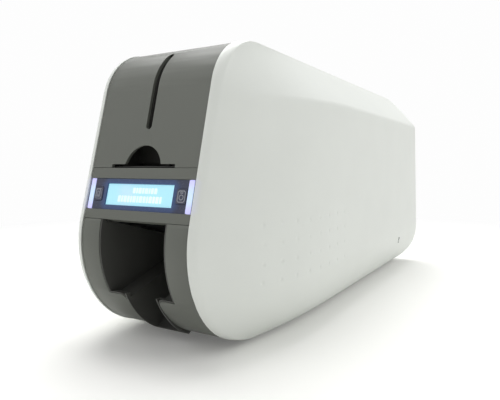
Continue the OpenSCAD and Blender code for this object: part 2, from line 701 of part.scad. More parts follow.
// Side frames: folded steel plates that carry the rollers and both hinge pins
low_plate_y = chin_c.x + 0.5;
low_plate_h = 40;
foot_w = 11.5;
neck = [0.6 * ear_r, 0.75 * ear_r];
module frame_plate(gears) difference() {
    union() {
        side_slab(frame_hw, frame_x) {
            intersection() {
                side_outline(frame_inset);
                square([base_end_y - 6, frame_top_z]);
            }
            translate([low_plate_y, pan_top_z]) square([base_end_y - 10 - low_plate_y, low_plate_h]);
            for (y = [hopper_hinge_y, cover_hinge_y]) {
                translate([y, hinge_z]) circle(r = ear_r);
                // Narrow neck, so that the lip of the open cover swings past it
                polygon([
                    [y - 6, frame_top_z - 1], [y + 6, frame_top_z - 1],
                    [y + neck.x, hinge_z - neck.y], [y - neck.x, hinge_z - neck.y]
                ]);
            }
        }
        // Folded foot on the base pan
        translate([frame_x - foot_w, bezel_end_y + 10, pan_top_z])
            cube([foot_w, base_end_y - bezel_end_y - 30, sheet]);
        if (gears) {
            cross_bar((platen_y + entry_y) / 2, idler_z, shaft_r, frame_x - 1, gear_x + gear_w + 1);
            cross_bar((platen_y + exit_y) / 2, idler_z, shaft_r, frame_x - 1, gear_x + gear_w + 1);
            cross_bar(feed_idler_y, feed_idler_z, shaft_r, frame_x - 1, gear_x + gear_w + 1);
            cross_bar(platen_y, reduction_z, shaft_r, frame_x - 1, gear_x + gear_w + 1);
        }
    }
    for (y = [hopper_hinge_y, cover_hinge_y]) cross_bar(y, hinge_z, pin_r, frame_hw - 1, frame_x + 1);
    for (y = [feed_y, entry_y, exit_y]) cross_bar(y, roller_z, shaft_r + run, frame_hw - 1, frame_x + 1);
    cross_bar(platen_y, platen_z, shaft_r + run, frame_hw - 1, frame_x + 1);
    cross_bar(entry_y, cleaner_z, shaft_r + run, frame_hw - 1, frame_x + 1);
    cross_bar(exit_y, pinch_z, shaft_r + run, frame_hw - 1, frame_x + 1);
    cross_bar(flip_y, path_z, 8 + run, frame_hw - 1, frame_x + 1);
    if (gears) cross_bar(platen_y, motor_z, 11 + run, frame_hw - 1, frame_x + 1);
    // Lightening windows
    for (dy = [-1, 1]) translate([frame_hw - 1, platen_y + dy * 35 - 20, path_z + 29])
        cube([sheet + 2, 40, frame_top_z - 13 - path_z - 29]);
    for (share = [0.25, 0.6, 0.76]) translate([frame_hw - 1, share * body_l, 30]) cube([sheet + 2, 44, 40]);
}
idler_z = (platen_z + roller_z) / 2;
module right_side_frame() color(sheet_steel) at_origin() frame_plate(true);
module left_side_frame() color(sheet_steel) at_origin() mirror([1, 0, 0]) frame_plate(false);
rod_places = [
    [saddle_y[0], saddle_z], [saddle_y[1], saddle_z],
    [0.215 * body_l, 60], [0.43 * body_l, 30], [0.727 * body_l, 60], [0.875 * body_l, 60]
];
module frame_tie_rods() color(sheet_steel) at_origin()
    for (q = rod_places) cross_bar(q.x, q.y, rod_r, -frame_hw, frame_hw);

// Card hopper: an open box for the card stack with a slanted front shield
module card_cassette() color(black_plastic) at_origin() difference() {
    union() {
        side_slab(-stack_hw - wall, stack_hw + wall) difference() {
            intersection() {
                side_outline(skin_in + 1);
                translate([stack_y - wall, path_z]) square([stack_l + 2 * wall, 79]);
            }
            translate([stack_y, path_z - 1]) square([stack_l, 100]);
        }
        both_sides() side_slab(stack_hw, stack_hw + wall) intersection() {
            side_outline(skin_in + 1);
            translate([stack_y - wall, path_z]) square([stack_l + 2 * wall, 79]);
        }
        // Shield behind the cover, tied to the box by two cheeks
        side_slab(-half_band + 4, half_band - 4) intersection() {
            outline_skin(skin_in + 1, skin_in + 3);
            above_front(path_z + 3);
            square([62, body_h]);
        }
        both_sides() side_slab(stack_hw, stack_hw + wall) intersection() {
            side_outline(skin_in + 1);
            above_front(path_z + 3);
            translate([0, path_z]) square([stack_y + 5, body_h - path_z]);
        }
        // Ears on the side frames
        both_sides() translate([stack_hw, stack_y + 20, path_z + 20]) cube([frame_hw - stack_hw, 14, 3]);
        both_sides() translate([stack_hw, stack_y + 66, path_z + 20]) cube([frame_hw - stack_hw, 14, 3]);
    }
    // Level window, finger pocket and the card gates front and rear
    front_slab(0, stack_y + 1) {
        translate([-slit_w / 2, path_z - 1]) square([slit_w, 90]);
    }
    front_slab(0, stack_y - wall) translate([0, upper_seam_z + notch_h - notch_r]) circle(r = notch_r + 2.5);
    translate([-stack_hw, 0, path_z - 1]) cube([2 * stack_hw, cassette_end_y + 1, 3.2]);
}
module card_weight() color([0.2, 0.2, 0.21]) at_origin() difference() {
    union() {
        translate([-stack_hw + 0.8, stack_y + 0.8, path_z + fit])
            cube([2 * stack_hw - 1.6, stack_l - 1.6, 2.4]);
        translate([-stack_hw + 6, stack_y + 6, path_z + fit]) cube([2 * stack_hw - 12, stack_l - 12, 8]);
        // Level pointer in the slit
        translate([-1.8, stack_y - wall + 0.3, path_z + fit]) cube([3.6, 4, 2.4]);
    }
    translate([-stack_hw + 8, stack_y + 8, path_z + fit + 2.4]) cube([2 * stack_hw - 16, stack_l - 16, 8]);
}
// Card deck with windows for the rollers
nose_y = front_y(path_z, floor_i);
nose_l = 8;
deck_rails = [
    [cassette_end_y + 2, entry_y - 12], [entry_y + 12, platen_y - 30],
    [platen_y + 30, exit_y - 12], [exit_y + 12, deck_end_y]
];
module card_deck() color(black_plastic) at_origin() difference() {
    union() {
        side_slab(-deck_hw, deck_hw) polygon([
            [nose_y, path_z], [nose_y, path_z - 0.6], [nose_y + nose_l, path_z - deck_t],
            [deck_end_y, path_z - deck_t], [deck_end_y, path_z]
        ]);
        for (run_y = deck_rails) both_sides() translate([stack_hw, run_y[0], path_z - 1])
            cube([deck_hw - stack_hw, run_y[1] - run_y[0], 2.5]);
        both_sides() for (y = [feed_y - 25, platen_y - 25, exit_y + 12])
            translate([deck_hw - 1, y, path_z - deck_t]) cube([frame_hw - deck_hw + 1, 10, deck_t]);
    }
    for (y = [feed_y, entry_y, platen_y, exit_y])
        translate([-roller_hw - 0.5, y - platen_r - 1, path_z - deck_t - 1])
        cube([2 * roller_hw + 1, 2 * platen_r + 2, deck_t + 2]);
}
module exit_chute() color(black_plastic) at_origin() {
    side_slab(-deck_hw, deck_hw) polygon([
        [entry_y - 9, 120], [entry_y - 9, 118], [118, 102], [bin_floor[1].x + wall + 0.3, bin_top_z - 15],
        [bin_floor[1].x + wall + 0.3, bin_top_z - 13], [117, 104]
    ]);
    both_sides() translate([deck_hw - 1, 112, 99]) cube([frame_hw - deck_hw + 1, 8, 3]);
}

// Rollers, shafts and gears
module roller(y, z, r) cross_tube(y, z, r, shaft_r, -roller_hw, roller_hw);
module cross_tube(y, z, r, bore, x0, x1) difference() {
    cross_bar(y, z, r, x0, x1);
    cross_bar(y, z, bore, x0 - 1, x1 + 1);
}
// One tooth as [share of the pitch, height in modules]
tooth = [[-0.27, -1.2], [-0.205, 0], [-0.1, 0.8], [0.1, 0.8], [0.205, 0], [0.27, -1.2]];
module gear_shape(teeth, phase) {
    r = pitch_r(teeth);
    step = 360 / teeth;
    polygon([
        for (k = [0 : teeth - 1], q = tooth) let (a = phase + (k + q.x) * step, d = r + q.y * gear_m)
            d * [cos(a), sin(a)]
    ]);
}
module gear(y, z, teeth, phase, bore, x0) difference() {
    side_slab(x0, x0 + gear_w) translate([y, z]) gear_shape(teeth, phase);
    if (bore > 0) cross_bar(y, z, bore, x0 - 1, x0 + gear_w + 1);
}
// Phase of the gear that meshes with another seen at the angle of the line of centres
function mesh(teeth_a, phase_a, angle, teeth_b) =
    angle + 180 - 360 / teeth_b * (0.5 - (angle - phase_a) * teeth_a / 360);
function line_angle(ya, za, yb, zb) = atan2(zb - za, yb - ya);
idler_front_y = (platen_y + entry_y) / 2;
idler_rear_y = (platen_y + exit_y) / 2;
idler_front_phase = mesh(roller_teeth, 0, line_angle(platen_y, platen_z, idler_front_y, idler_z),
    idler_teeth);
idler_rear_phase = mesh(roller_teeth, 0, line_angle(platen_y, platen_z, idler_rear_y, idler_z), idler_teeth);
entry_phase = mesh(idler_teeth, idler_front_phase, line_angle(idler_front_y, idler_z, entry_y, roller_z),
    roller_teeth);
exit_phase = mesh(idler_teeth, idler_rear_phase, line_angle(idler_rear_y, idler_z, exit_y, roller_z),
    roller_teeth);
feed_idler_phase = mesh(roller_teeth, entry_phase,
    line_angle(entry_y, roller_z, feed_idler_y, feed_idler_z), feed_idler_teeth);
feed_phase = mesh(feed_idler_teeth, feed_idler_phase,
    line_angle(feed_idler_y, feed_idler_z, feed_y, roller_z), roller_teeth);
reduction_phase = mesh(roller_teeth, 0, -90, reduction_teeth);
motor_phase = mesh(reduction_teeth, reduction_phase, -90, pinion_teeth);
flipper_pinion_phase = mesh(flipper_teeth, 0, -90, pinion_teeth);

module driven_shaft(y, z, phase) {
    cross_bar(y, z, shaft_r, -frame_x - 2, gear_x + gear_w);
    gear(y, z, roller_teeth, phase, 0, gear_x);
}
module feed_roller() color(roller_rubber) at_origin() roller(feed_y, roller_z, roller_r);
module feed_shaft() color(sheet_steel) at_origin() driven_shaft(feed_y, roller_z, feed_phase);
module entry_roller() color(roller_rubber) at_origin() roller(entry_y, roller_z, roller_r);
module entry_shaft() color(sheet_steel) at_origin() driven_shaft(entry_y, roller_z, entry_phase);
module platen_roller() color(roller_rubber) at_origin() roller(platen_y, platen_z, platen_r);
module platen_shaft() color(sheet_steel) at_origin() driven_shaft(platen_y, platen_z, 0);
module exit_roller() color(roller_rubber) at_origin() roller(exit_y, roller_z, roller_r);
module exit_shaft() color(sheet_steel) at_origin() driven_shaft(exit_y, roller_z, exit_phase);
module cleaning_roller() color([0.35, 0.6, 0.85]) at_origin() {
    cross_bar(entry_y, cleaner_z, cleaner_r, -roller_hw, roller_hw);
    cross_bar(entry_y, cleaner_z, shaft_r, -frame_x - 1, frame_x + 1);
}
module pinch_roller() color(roller_rubber) at_origin() {
    cross_bar(exit_y, pinch_z, pinch_r, -roller_hw, roller_hw);
    cross_bar(exit_y, pinch_z, shaft_r, -frame_x - 1, frame_x + 1);
}
module free_gear(y, z, teeth, phase) color(gear_white) at_origin()
    gear(y, z, teeth, phase, shaft_r + run, gear_x);
module front_idler_gear() free_gear(idler_front_y, idler_z, idler_teeth, idler_front_phase);
module rear_idler_gear() free_gear(idler_rear_y, idler_z, idler_teeth, idler_rear_phase);
module feed_idler_gear() free_gear(feed_idler_y, feed_idler_z, feed_idler_teeth, feed_idler_phase);
module reduction_gear() free_gear(platen_y, reduction_z, reduction_teeth, reduction_phase);

// Motors with square cans and a round boss
motor_shaft_r = 2.5;
motor_w = 42;
motor_l = 34;
module motor_can(w, l) linear_extrude(l) rounded_rect(w, w, 4);
module drive_motor() color([0.2, 0.2, 0.2]) at_origin() difference() {
    translate([frame_hw, platen_y, motor_z]) rotate([0, -90, 0]) {
        motor_can(motor_w, motor_l);
        translate([0, 0, -sheet]) cylinder(r = 11, h = sheet + 1);
    }
    cross_bar(platen_y, motor_z, motor_shaft_r + run, frame_hw - 8, frame_hw + 12);
}
module motor_pinion() color(gear_white) at_origin() {
    cross_bar(platen_y, motor_z, motor_shaft_r, frame_hw - 7, gear_x + gear_w);
    gear(platen_y, motor_z, pinion_teeth, motor_phase, 0, gear_x);
}

// Print head on its bracket, carried by the top cover
head_hw = roller_hw + 0.8;
head_z = path_z + 1;
cover_in_z = body_h - proud - wall - bite;
module head_bracket() color(sheet_steel) at_origin() difference() {
    union() {
        both_sides() translate([head_hw, platen_y - 10, head_z + 3])
            cube([sheet, 20, cover_in_z - head_z - 3]);
        for (z = [head_z + 12, cover_in_z - sheet]) translate([-head_hw - sheet, platen_y - 10, z])
            cube([2 * (head_hw + sheet), 20, sheet]);
    }
    both_sides() translate([head_hw - 1, platen_y - 5, head_z + 30]) cube([sheet + 2, 10, 30]);
}
module print_head() color([0.55, 0.56, 0.58]) at_origin() difference() {
    union() {
        translate([-head_hw, platen_y - 9, head_z + 2]) cube([2 * head_hw, 18, 10]);
        translate([-head_hw, platen_y - 5, head_z]) cube([2 * head_hw, 10, 3]);
    }
    for (k = [-4 : 4]) translate([6 * k - 1.5, platen_y - 10, head_z + 6]) cube([3, 20, 7]);
}

// Ribbon cartridge that sits on two tie rods, with its spools and film
cartridge_x = [33.5, 36];
film_bars = [platen_y - 20, platen_y + 20];
spool_journal_r = 4;
module cartridge_side() difference() {
    polygon([
        [supply_y - 18, spool_z - 12], [supply_y - 14, saddle_z + 1], [platen_y - 29, saddle_z - 4],
        [film_bars[0] - 5, film_z + 0.8], [film_bars[0] + 5, film_z + 0.8], [platen_y - 11, saddle_z + 4],
        [platen_y + 11, saddle_z + 4], [film_bars[1] - 5, film_z + 0.8], [film_bars[1] + 5, film_z + 0.8],
        [platen_y + 29, saddle_z - 4], [saddle_y[1] + 8, saddle_z + 1], [saddle_y[1] + 8, spool_z + 12],
        [takeup_y, spool_z + 22], [platen_y + 14, spool_z + 22], [platen_y + 8, spool_z - 6],
        [platen_y - 8, spool_z - 6], [platen_y - 14, spool_z + 22], [supply_y, spool_z + 22],
        [supply_y - 18, spool_z + 10]
    ]);
    for (y = saddle_y) translate([y, saddle_z]) circle(r = rod_r + run);
    for (y = [supply_y, takeup_y]) translate([y, spool_z]) circle(r = spool_journal_r + run);
}
module ribbon_cartridge() color([0.16, 0.22, 0.42]) at_origin() {
    both_sides() side_slab(cartridge_x[0], cartridge_x[1]) cartridge_side();
    for (y = film_bars) cross_bar(y, film_z + film_t + nip + guide_bar_r, guide_bar_r,
        -cartridge_x[0] - 1, cartridge_x[0] + 1);
    for (y = [supply_y, takeup_y]) translate([-cartridge_x[0] - 1, y - 5, spool_z + 20])
        cube([2 * cartridge_x[0] + 2, 10, 2]);
}
module spool(y, ribbon) {
    cross_bar(y, spool_z, ribbon, -roller_hw, roller_hw);
    cross_bar(y, spool_z, spool_journal_r, -cartridge_x[1] - 1, cartridge_x[1] + 1);
    both_sides() cross_bar(y, spool_z, ribbon + 2.5, roller_hw, roller_hw + 1.5);
}
module supply_spool() color([0.1, 0.1, 0.12]) at_origin() spool(supply_y, supply_r);
module takeup_spool() color([0.1, 0.1, 0.12]) at_origin() spool(takeup_y, takeup_r);
film_bend = guide_bar_r + 0.1;
module film_run(a, b) {
    u = (b - a) / norm(b - a);
    polygon([a, b, b + film_t * [-u.y, u.x], a + film_t * [-u.y, u.x]]);
}
module ribbon_film() color([0.5, 0.1, 0.2, 0.8]) at_origin() side_slab(-roller_hw + 1, roller_hw - 1) {
    film_run([supply_y + supply_r + 0.4, spool_z], [film_bars[0] - film_bend, film_z]);
    film_run([film_bars[0] - film_bend, film_z], [film_bars[1] + film_bend, film_z]);
    film_run([film_bars[1] + film_bend, film_z], [takeup_y - takeup_r - 0.4, spool_z]);
}

// Card flipper: a turning frame with two pairs of rollers
flip_plate_x = [33.5, 36];
module flipper_frame() color(black_plastic) at_origin() {
    both_sides() difference() {
        union() {
            side_slab(flip_plate_x[0], flip_plate_x[1]) translate([flip_y, path_z]) rounded_rect(90, 28, 6);
            cross_bar(flip_y, path_z, 8, flip_plate_x[1] - 1, frame_x + 0.5);
        }
        for (dy = [-1, 1], dz = [-1, 1])
            cross_bar(flip_y + dy * flip_roller_y, path_z + dz * (flip_roller_r + nip / 2),
                2.5 + run, flip_plate_x[0] - 1, flip_plate_x[1] + 1);
    }
    for (side = [-1, 1]) translate([-flip_plate_x[0] - 1, flip_y - 15, path_z + side * 3 - 0.75])
        cube([2 * flip_plate_x[0] + 2, 30, 1.5]);
    cross_bar(flip_y, path_z, 8, -gear_x - 1, -frame_x);
    side_slab(-gear_x - gear_w, -gear_x) translate([flip_y, path_z]) gear_shape(flipper_teeth, 0);
}
module flipper_roller(dy, dz) color(roller_rubber) at_origin() {
    y = flip_y + dy * flip_roller_y;
    z = path_z + dz * (flip_roller_r + nip / 2);
    cross_bar(y, z, flip_roller_r, -roller_hw, roller_hw);
    cross_bar(y, z, 2.5, -flip_plate_x[1], flip_plate_x[1]);
}
module flipper_roller_a() flipper_roller(-1, -1);
module flipper_roller_b() flipper_roller(-1, 1);
module flipper_roller_c() flipper_roller(1, -1);
module flipper_roller_d() flipper_roller(1, 1);
flip_motor_x = gear_x + gear_w + 1;
module flipper_motor() color([0.2, 0.2, 0.2]) at_origin() mirror([1, 0, 0]) difference() {
    union() {
        translate([flip_motor_x, flip_y, flip_pinion_z]) rotate([0, 90, 0]) motor_can(35, 26);
        translate([flip_motor_x, flip_y - 32, flip_pinion_z - 20]) cube([1.5, 64, 24]);
        for (q = [[-28, -16], [28, -16], [-28, 0], [28, 0]])
            cross_bar(flip_y + q.x, flip_pinion_z + q.y, 2.5, frame_x, flip_motor_x + 1);
    }
    cross_bar(flip_y, flip_pinion_z, 2 + run, flip_motor_x - 1, flip_motor_x + 12);
}
module flipper_pinion() color(gear_white) at_origin() mirror([1, 0, 0]) {
    gear(flip_y, flip_pinion_z, pinion_teeth, flipper_pinion_phase, 0, gear_x);
    cross_bar(flip_y, flip_pinion_z, 2, gear_x, flip_motor_x + 10);
}

// Control board on the outside of the left frame
board_x = frame_x + 4;
module control_board() color([0.05, 0.35, 0.18]) at_origin() mirror([1, 0, 0]) {
    translate([board_x, 70, 28]) cube([board_t, 130, 84]);
    for (y = [76, 194], z = [34, 106]) cross_bar(y, z, 2.5, frame_x, board_x + 0.5);
    translate([board_x + 1, 100, 60]) cube([3, 22, 22]);
    translate([board_x + 1, 140, 70]) cube([3, 16, 16]);
    for (y = [80 : 14 : 122]) cross_bar(y, 100, 4, board_x + 1, board_x + 12);
    translate([board_x + 1, 140, 34]) cube([8, 40, 8]);
}

left_side_shell();
right_side_shell();
front_bezel();
output_bin();
control_panel();
display_window();
lcd_screen();
left_light_bar();
right_light_bar();
left_button();
right_button();
panel_board();
hopper_cover();
hopper_hinge_pin();
top_cover();
cover_hinge_pin();
rear_cover();
power_switch();
dc_inlet();
usb_port();
network_port();
base_pan();
rubber_feet();
left_side_frame();
right_side_frame();
frame_tie_rods();
card_cassette();
card_weight();
card_deck();
exit_chute();
feed_roller();
feed_shaft();
entry_roller();
entry_shaft();
platen_roller();
platen_shaft();
exit_roller();
exit_shaft();
cleaning_roller();
pinch_roller();
drive_motor();
motor_pinion();
reduction_gear();
front_idler_gear();
rear_idler_gear();
feed_idler_gear();
head_bracket();
print_head();
ribbon_cartridge();
supply_spool();
takeup_spool();
ribbon_film();
flipper_frame();
flipper_roller_a();
flipper_roller_b();
flipper_roller_c();
flipper_roller_d();
flipper_motor();
flipper_pinion();
control_board();
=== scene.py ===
import json
import math
import bpy
import bmesh
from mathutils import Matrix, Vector


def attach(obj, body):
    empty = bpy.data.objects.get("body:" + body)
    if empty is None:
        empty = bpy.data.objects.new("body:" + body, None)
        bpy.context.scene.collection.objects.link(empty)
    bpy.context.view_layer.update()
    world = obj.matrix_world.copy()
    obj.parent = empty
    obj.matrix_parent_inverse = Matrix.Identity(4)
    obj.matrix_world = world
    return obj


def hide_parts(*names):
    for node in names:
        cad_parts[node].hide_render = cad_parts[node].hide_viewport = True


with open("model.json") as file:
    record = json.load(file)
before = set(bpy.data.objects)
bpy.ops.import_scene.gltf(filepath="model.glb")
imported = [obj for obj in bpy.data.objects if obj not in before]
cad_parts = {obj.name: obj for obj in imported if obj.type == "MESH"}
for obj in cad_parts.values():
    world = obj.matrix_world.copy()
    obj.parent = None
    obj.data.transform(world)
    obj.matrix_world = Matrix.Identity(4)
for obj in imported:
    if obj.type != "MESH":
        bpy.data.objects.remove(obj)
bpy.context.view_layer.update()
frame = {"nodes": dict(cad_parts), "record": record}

NODES = frame["nodes"]
MM = 0.001
SIDES = ((1, "right"), (-1, "left"))

# Real sizes, in millimetres
BODY_W, BODY_L, BODY_H = 176.0, 465.0, 220.0
FOOT_H = 4.0
BAND_W = 95.0
SEAM = 0.3
WALL = 2.5
LEAN = math.radians(15.0)
RAKE = math.radians(6.0)
CHIN_R, BROW_R, RUMP_R, HEEL_R = 71.5, 45.5, 25.5, 20.5
RIM_W, RIM_D, FLARE_L = 6.7, 4.0, 150.0
CREASE_Z, CREASE_DROP, DRAFT = 183.0, 5.0, 1.5
BELLY_Z, BELLY_W, BELLY_DROP, EDGE_R = 50.0, 50.0, 3.0, 6.0
SHELL_X = BAND_W / 2 + SEAM
SWELL = BODY_W / 2 - SHELL_X - RIM_W
LOWER_SEAM_Z = 94.3
# The middle of the display lies this far up the slope from the lower seam
PANEL_MID = 18.3
LCD_W, LCD_H = 60.0, 15.0
BUTTON_X = 37.4

CL, SL = math.cos(LEAN), math.sin(LEAN)
CR, SR = math.cos(RAKE), math.sin(RAKE)
CHIN_C = (CHIN_R, FOOT_H + CHIN_R)
FRONT_K = -CHIN_C[0] * CL + CHIN_C[1] * SL + CHIN_R
BROW_Z = BODY_H - BROW_R
BROW_C = ((BROW_Z * SL - FRONT_K + BROW_R) / CL, BROW_Z)
HEEL_C = (BODY_L - HEEL_R, FOOT_H + HEEL_R)
REAR_K = HEEL_C[0] * CR + HEEL_C[1] * SR + HEEL_R
RUMP_Z = BODY_H - RUMP_R
RUMP_C = ((REAR_K - RUMP_R - RUMP_Z * SR) / CR, RUMP_Z)


def reach(r, dz):
    return math.sqrt(max(0.0, r * r - dz * dz))


def front_y(z, i):
    """How far the front surface, drawn in by i, lies behind the front-most point at height z."""
    if z < CHIN_C[1] + (CHIN_R - i) * SL:
        return CHIN_C[0] - reach(CHIN_R - i, z - CHIN_C[1])
    if z > BROW_C[1] + (BROW_R - i) * SL:
        return BROW_C[0] - reach(BROW_R - i, z - BROW_C[1])
    return (z * SL - FRONT_K + i) / CL


def rear_y(z, i):
    """The same for the rear surface, also measured from the front-most point."""
    if z < HEEL_C[1] + (HEEL_R - i) * SR:
        return HEEL_C[0] + reach(HEEL_R - i, z - HEEL_C[1])
    if z > RUMP_C[1] + (RUMP_R - i) * SR:
        return RUMP_C[0] + reach(RUMP_R - i, z - RUMP_C[1])
    return (REAR_K - i - z * SR) / CR


def P(x, d, z):
    """A point in metres from x, the distance behind the front, and the height, in mm."""
    return Vector((x * MM, (d - BODY_L / 2) * MM, z * MM))


def on_panel(x, v, h):
    """A point in metres: x across, v up the slope from the middle of the display, h out of the surface."""
    v += PANEL_MID
    y0 = (LOWER_SEAM_Z * SL - FRONT_K) / CL
    return P(x, y0 + v * SL - h * CL, LOWER_SEAM_Z + v * CL + h * SL)


# Camera, as fitted to the photo
YAW, TILT = math.radians(30.7), math.radians(4.0)
cam_data = bpy.data.cameras.new("camera")
cam = bpy.data.objects.new("camera", cam_data)
bpy.context.scene.collection.objects.link(cam)
cam_data.sensor_width = 36.0
cam_data.lens = 35.35
cam_data.clip_start = 0.01
cam_data.dof.use_dof = False
cam.location = (0.2345, -0.4705, 0.1314)
look = Vector((-math.sin(YAW) * math.cos(TILT), math.cos(YAW) * math.cos(TILT), -math.sin(TILT)))
cam.rotation_euler = look.to_track_quat("-Z", "Y").to_euler()
bpy.context.scene.camera = cam
bpy.context.scene.view_settings.view_transform = "Standard"

# Shader building blocks
GRAIN_DEPTH = 0.0002
NOISE_MIDDLE = (0.3, 0.7)


def new_mat(name):
    """A new material, its node tree and its Principled shader."""
    m = bpy.data.materials.new(name)
    m.use_nodes = True
    nt = m.node_tree
    nt.nodes.clear()
    out = nt.nodes.new("ShaderNodeOutputMaterial")
    bsdf = nt.nodes.new("ShaderNodeBsdfPrincipled")
    nt.links.new(bsdf.outputs[0], out.inputs[0])
    return m, nt, bsdf


def node(nt, kind, **vals):
    """A new node, with each value set on the input of that name, or else as the node's property."""
    n = nt.nodes.new(kind)
    for k, v in vals.items():
        if k in n.inputs:
            n.inputs[k].default_value = v
        else:
            setattr(n, k, v)
    return n


def math_node(nt, operation, *values):
    """Result of a Math node. Each value is a socket or a number."""
    n = node(nt, "ShaderNodeMath", operation=operation)
    for target, value in zip(n.inputs, values):
        if isinstance(value, bpy.types.NodeSocket):
            nt.links.new(value, target)
        else:
            target.default_value = value
    return n.outputs[0]


def map_range(nt, value, source, result, interpolation="LINEAR"):
    """The value carried from one (low, high) range over to another."""
    n = node(nt, "ShaderNodeMapRange", interpolation_type=interpolation)
    nt.links.new(value, n.inputs["Value"])
    n.inputs["From Min"].default_value, n.inputs["From Max"].default_value = source
    n.inputs["To Min"].default_value, n.inputs["To Max"].default_value = result
    return n.outputs[0]


def surface_noise(nt, stretch=None, **vals):
    """Noise over the object's own coordinates, stretched along the axes where asked."""
    place = node(nt, "ShaderNodeTexCoord").outputs["Object"]
    if stretch:
        mapping = node(nt, "ShaderNodeMapping", Scale=stretch)
        nt.links.new(place, mapping.inputs["Vector"])
        place = mapping.outputs[0]
    n = node(nt, "ShaderNodeTexNoise", **vals)
    nt.links.new(place, n.inputs["Vector"])
    return n.outputs["Fac"]


def scaled(nt, color, factor):
    """The colour times the factor."""
    n = node(nt, "ShaderNodeVectorMath", operation="SCALE")
    n.inputs[0].default_value = color
    nt.links.new(factor, n.inputs["Scale"])
    return n.outputs["Vector"]


def blend(nt, factor, first, second):
    """The first colour where the factor is 0 and the second where it is 1."""
    n = node(nt, "ShaderNodeMix", data_type="RGBA")
    nt.links.new(factor, n.inputs[0])
    n.inputs[6].default_value = (*first, 1)
    n.inputs[7].default_value = (*second, 1)
    return n.outputs[2]


def bumpy(nt, bsdf, height, strength):
    """Fine relief on the surface, from a height socket."""
    n = node(nt, "ShaderNodeBump", Strength=strength, Distance=GRAIN_DEPTH)
    nt.links.new(height, n.inputs["Height"])
    nt.links.new(n.outputs[0], bsdf.inputs["Normal"])


def slope_coords(nt):
    """Sockets with x across the front and v up its slope, from the middle of the display, in metres."""
    tc = node(nt, "ShaderNodeTexCoord")
    sep = node(nt, "ShaderNodeSeparateXYZ")
    nt.links.new(tc.outputs["Object"], sep.inputs[0])
    mid = on_panel(0, 0, 0)
    from_y = math_node(nt, "MULTIPLY_ADD", sep.outputs["Y"], SL, -(mid.y * SL + mid.z * CL))
    return sep.outputs["X"], math_node(nt, "MULTIPLY_ADD", sep.outputs["Z"], CL, from_y)


def beyond(nt, socket, half):
    """How far |socket| lies beyond half, at least 0."""
    far = math_node(nt, "SUBTRACT", math_node(nt, "ABSOLUTE", socket), half)
    return math_node(nt, "MAXIMUM", far, 0.0)


# Materials


def plastic(name, color, rough=0.45, grain=2600.0, bump=0.05, vary=0.03, spec=0.5, coat=0.0):
    """Moulded surface: fine spark texture with faint variation of colour and gloss."""
    m, nt, b = new_mat(name)
    broad = surface_noise(nt, Scale=22.0, Detail=3.0, Roughness=0.55)
    fine = surface_noise(nt, Scale=grain, Detail=2.0, Roughness=0.6)
    tint = map_range(nt, broad, NOISE_MIDDLE, (1.0 - vary, 1.0 + vary))
    nt.links.new(scaled(nt, color, tint), b.inputs["Base Color"])
    gloss = map_range(nt, fine, (0.25, 0.75), (max(0.02, rough - 0.05), min(1.0, rough + 0.05)))
    nt.links.new(gloss, b.inputs["Roughness"])
    bumpy(nt, b, fine, bump)
    b.inputs["Specular IOR Level"].default_value = spec
    if coat:
        b.inputs["Coat Weight"].default_value = coat
        b.inputs["Coat Roughness"].default_value = 0.12
    return m


def metal(name, color, rough, streak):
    """Rolled or turned metal with fine lines, drawn out along the axis with the lowest streak value."""
    m, nt, b = new_mat(name)
    lines = surface_noise(nt, stretch=streak, Scale=1.0, Detail=4.0, Roughness=0.6)
    tint = map_range(nt, lines, (0.0, 1.0), (0.88, 1.08))
    nt.links.new(scaled(nt, color, tint), b.inputs["Base Color"])
    gloss = map_range(nt, lines, (0.0, 1.0), (rough - 0.08, rough + 0.12))
    nt.links.new(gloss, b.inputs["Roughness"])
    bumpy(nt, b, lines, 0.03)
    b.inputs["Metallic"].default_value = 1.0
    return m


def glow(name, color, emit, strength, spread):
    """Lit diffuser: a soft emission that varies a little over the surface."""
    m, nt, b = new_mat(name)
    drift = surface_noise(nt, Scale=60.0, Detail=2.0)
    tint = map_range(nt, drift, NOISE_MIDDLE, (1.0 - spread, 1.0 + spread))
    nt.links.new(scaled(nt, emit, tint), b.inputs["Emission Color"])
    b.inputs["Emission Strength"].default_value = strength
    b.inputs["Base Color"].default_value = (*color, 1)
    b.inputs["Roughness"].default_value = 0.3
    return m


def bar_light(name):
    """Light guide, violet at both ends and pale cyan in the middle."""
    m, nt, b = new_mat(name)
    _, v = slope_coords(nt)
    from_middle = math_node(nt, "ABSOLUTE", v)
    end_share = map_range(nt, from_middle, (0.002, 0.0105), (0.0, 1.0), "SMOOTHSTEP")
    color = blend(nt, end_share, (0.54, 0.80, 0.97), (0.54, 0.52, 0.96))
    nt.links.new(color, b.inputs["Emission Color"])
    drift = surface_noise(nt, Scale=90.0, Detail=2.0)
    strength = map_range(nt, drift, NOISE_MIDDLE, (0.58, 0.68))
    nt.links.new(strength, b.inputs["Emission Strength"])
    b.inputs["Base Color"].default_value = (0.42, 0.42, 0.6, 1)
    b.inputs["Roughness"].default_value = 0.3
    return m


